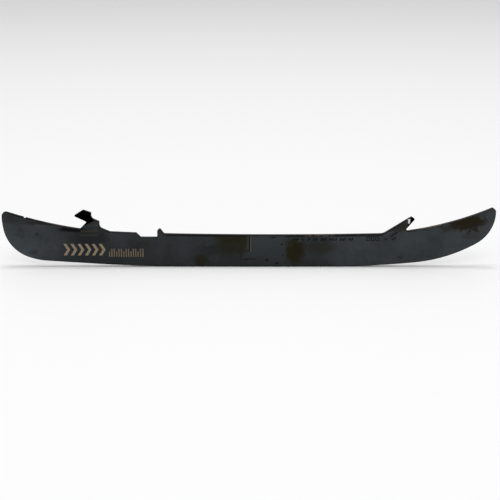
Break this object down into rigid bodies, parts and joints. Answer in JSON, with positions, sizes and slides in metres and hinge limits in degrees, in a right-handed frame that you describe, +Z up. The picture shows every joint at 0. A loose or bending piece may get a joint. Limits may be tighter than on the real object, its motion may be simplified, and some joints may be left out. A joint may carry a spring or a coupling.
{
  "type": "ice skate runner",
  "caption": "Replacement ice skate runner: a thin coated steel blade with a rockered, hollow-ground running edge, and hooks, seat and latch tooth along its top that hold it in a skate's holder.",
  "frame": {"origin": "on the ice, under the middle of the runner's length and thickness", "axes": "+X from the toe back to the tail, +Y across the thickness, +Z up from the ice"},
  "size_m": [0.288, 0.003, 0.0352],
  "materials": {
    "coated_steel": "stainless steel with a thin black wear coating, ground along its length, with brown heat and handling stains"
  },
  "bodies": {
    "root": {"runner": "coated_steel"}
  },
  "joints": []
}
